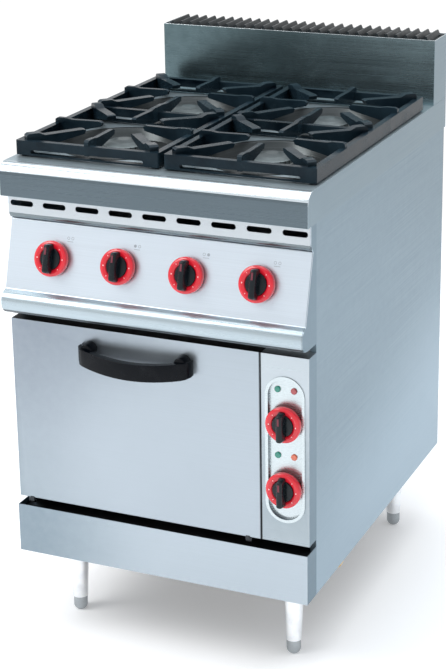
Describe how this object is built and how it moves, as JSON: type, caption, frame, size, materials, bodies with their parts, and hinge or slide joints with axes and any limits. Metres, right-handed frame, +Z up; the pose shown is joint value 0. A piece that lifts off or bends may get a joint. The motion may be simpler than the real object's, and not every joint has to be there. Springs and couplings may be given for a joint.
{
  "type": "commercial gas range",
  "caption": "Free-standing stainless restaurant range: open gas burners under lift-off cast grates, drop-door electric oven, slanted knob panel and rear flue upstand.",
  "frame": {"origin": "centre of the footprint on the floor, under the levelling feet", "axes": "+Z up, +X to the right of a person facing the controls, -Y out of the front"},
  "size_m": [0.6, 0.828, 1.077],
  "materials": {
    "stainless": "brushed stainless sheet",
    "door_steel": "bright brushed stainless sheet",
    "enamel_black": "matt black enamelled casting",
    "pan_steel": "heat-tinted stainless dish",
    "pipe": "zinc-plated steel",
    "brass": "machined brass",
    "cavity_steel": "dull stainless oven sheet",
    "insulation": "mineral wool",
    "element": "oxidised steel sheath",
    "gasket": "woven and silicone seal",
    "handle_plastic": "gloss black heat-resistant plastic",
    "bezel": "satin metal recess",
    "lamp_green": "green signal lens",
    "lamp_red": "red signal lens",
    "burner_iron": "grey cast iron",
    "burner_cap": "pale cast crown",
    "cast_iron": "blue-black enamelled cast iron",
    "gland": "black nylon",
    "rack_wire": "plated wire",
    "knob": "red skirt with a black grip",
    "chrome": "polished chrome"
  },
  "bodies": {
    "cabinet": {"back_panel": "stainless", "base_frame": "stainless", "burner_bodies": "burner_iron", "cable_gland": "gland", "control_fascia": "stainless", "door_gasket": "gasket", "drip_pans": "pan_steel", "flue_grille": "enamel_black", "gas_inlet": "brass", "gas_manifold": "pipe", "gas_valves": "brass", "green_lamps": "lamp_green", "heating_elements": "element", "hinge_brackets": "pipe", "kickplate": "stainless", "left_side_panel": "stainless", "leg_1": "chrome", "leg_2": "chrome", "leg_3": "chrome", "leg_4": "chrome", "oven_bezel": "bezel", "oven_cavity": "cavity_steel", "oven_fascia": "stainless", "oven_insulation": "insulation", "rack_guides": "cavity_steel", "red_lamps": "lamp_red", "right_side_panel": "stainless", "splashback": "stainless", "thermostat_1": "pipe", "thermostat_2": "pipe", "vent_strip": "stainless", "worktop": "stainless"},
    "door": {"door_outer": "door_steel", "door_insulation": "insulation", "door_inner": "cavity_steel", "door_handle": "handle_plastic", "handle_screws": "pipe"},
    "left_grate": {"left_grate": "cast_iron"},
    "right_grate": {"right_grate": "cast_iron"},
    "spindle_1": {"spindle_1": "brass"},
    "knob_1": {"knob_1": "knob"},
    "burner_cap_1": {"burner_cap_1": "burner_cap"},
    "foot_1": {"foot_1": "chrome"},
    "spindle_2": {"spindle_2": "brass"},
    "knob_2": {"knob_2": "knob"},
    "burner_cap_2": {"burner_cap_2": "burner_cap"},
    "foot_2": {"foot_2": "chrome"},
    "spindle_3": {"spindle_3": "brass"},
    "knob_3": {"knob_3": "knob"},
    "burner_cap_3": {"burner_cap_3": "burner_cap"},
    "foot_3": {"foot_3": "chrome"},
    "spindle_4": {"spindle_4": "brass"},
    "knob_4": {"knob_4": "knob"},
    "burner_cap_4": {"burner_cap_4": "burner_cap"},
    "foot_4": {"foot_4": "chrome"},
    "oven_rack_1": {"oven_rack_1": "rack_wire"},
    "oven_knob_1": {"oven_knob_1": "knob"},
    "oven_rack_2": {"oven_rack_2": "rack_wire"},
    "oven_knob_2": {"oven_knob_2": "knob"}
  },
  "joints": [
    {"name": "door_hinge", "type": "hinge", "parent": "cabinet", "child": "door", "pos_m": [0, -0.364, 0.2685], "axis": [1, 0, 0], "range_deg": [0, 90]},
    {"name": "left_grate_lift", "type": "slide", "parent": "cabinet", "child": "left_grate", "axis": [0, 0, 1], "range_m": [0, 0.12]},
    {"name": "right_grate_lift", "type": "slide", "parent": "cabinet", "child": "right_grate", "axis": [0, 0, 1], "range_m": [0, 0.12]},
    {"name": "knob_1_push", "type": "slide", "parent": "cabinet", "child": "spindle_1", "axis": [0, 0.9609, -0.2768], "range_m": [0, 0.0035], "stiffness_N_per_m": 900, "springref_m": -0.002},
    {"name": "knob_1_turn", "type": "hinge", "parent": "spindle_1", "child": "knob_1", "pos_m": [-0.2025, -0.366, 0.7615], "axis": [0, -0.9609, 0.2768], "range_deg": [0, 180]},
    {"name": "burner_cap_1_lift", "type": "slide", "parent": "cabinet", "child": "burner_cap_1", "axis": [0, 0, 1], "range_m": [0, 0.06]},
    {"name": "foot_1_level", "type": "slide", "parent": "cabinet", "child": "foot_1", "axis": [0, 0, -1], "range_m": [0, 0.025]},
    {"name": "knob_2_push", "type": "slide", "parent": "cabinet", "child": "spindle_2", "axis": [0, 0.9609, -0.2768], "range_m": [0, 0.0035], "stiffness_N_per_m": 900, "springref_m": -0.002},
    {"name": "knob_2_turn", "type": "hinge", "parent": "spindle_2", "child": "knob_2", "pos_m": [-0.0675, -0.366, 0.7615], "axis": [0, -0.9609, 0.2768], "range_deg": [0, 180]},
    {"name": "burner_cap_2_lift", "type": "slide", "parent": "cabinet", "child": "burner_cap_2", "axis": [0, 0, 1], "range_m": [0, 0.06]},
    {"name": "foot_2_level", "type": "slide", "parent": "cabinet", "child": "foot_2", "axis": [0, 0, -1], "range_m": [0, 0.025]},
    {"name": "knob_3_push", "type": "slide", "parent": "cabinet", "child": "spindle_3", "axis": [0, 0.9609, -0.2768], "range_m": [0, 0.0035], "stiffness_N_per_m": 900, "springref_m": -0.002},
    {"name": "knob_3_turn", "type": "hinge", "parent": "spindle_3", "child": "knob_3", "pos_m": [0.0675, -0.366, 0.7615], "axis": [0, -0.9609, 0.2768], "range_deg": [0, 180]},
    {"name": "burner_cap_3_lift", "type": "slide", "parent": "cabinet", "child": "burner_cap_3", "axis": [0, 0, 1], "range_m": [0, 0.06]},
    {"name": "foot_3_level", "type": "slide", "parent": "cabinet", "child": "foot_3", "axis": [0, 0, -1], "range_m": [0, 0.025]},
    {"name": "knob_4_push", "type": "slide", "parent": "cabinet", "child": "spindle_4", "axis": [0, 0.9609, -0.2768], "range_m": [0, 0.0035], "stiffness_N_per_m": 900, "springref_m": -0.002},
    {"name": "knob_4_turn", "type": "hinge", "parent": "spindle_4", "child": "knob_4", "pos_m": [0.2025, -0.366, 0.7615], "axis": [0, -0.9609, 0.2768], "range_deg": [0, 180]},
    {"name": "burner_cap_4_lift", "type": "slide", "parent": "cabinet", "child": "burner_cap_4", "axis": [0, 0, 1], "range_m": [0, 0.06]},
    {"name": "foot_4_level", "type": "slide", "parent": "cabinet", "child": "foot_4", "axis": [0, 0, -1], "range_m": [0, 0.025]},
    {"name": "oven_rack_1_slide", "type": "slide", "parent": "cabinet", "child": "oven_rack_1", "axis": [0, -1, 0], "range_m": [-0.03, 0.035]},
    {"name": "oven_knob_1_turn", "type": "hinge", "parent": "cabinet", "child": "oven_knob_1", "pos_m": [0.251, -0.369, 0.383], "axis": [0, 1, 0], "range_deg": [0, 290]},
    {"name": "oven_rack_2_slide", "type": "slide", "parent": "cabinet", "child": "oven_rack_2", "axis": [0, -1, 0], "range_m": [-0.03, 0.035]},
    {"name": "oven_knob_2_turn", "type": "hinge", "parent": "cabinet", "child": "oven_knob_2", "pos_m": [0.251, -0.369, 0.509], "axis": [0, 1, 0], "range_deg": [0, 290]}
  ]
}
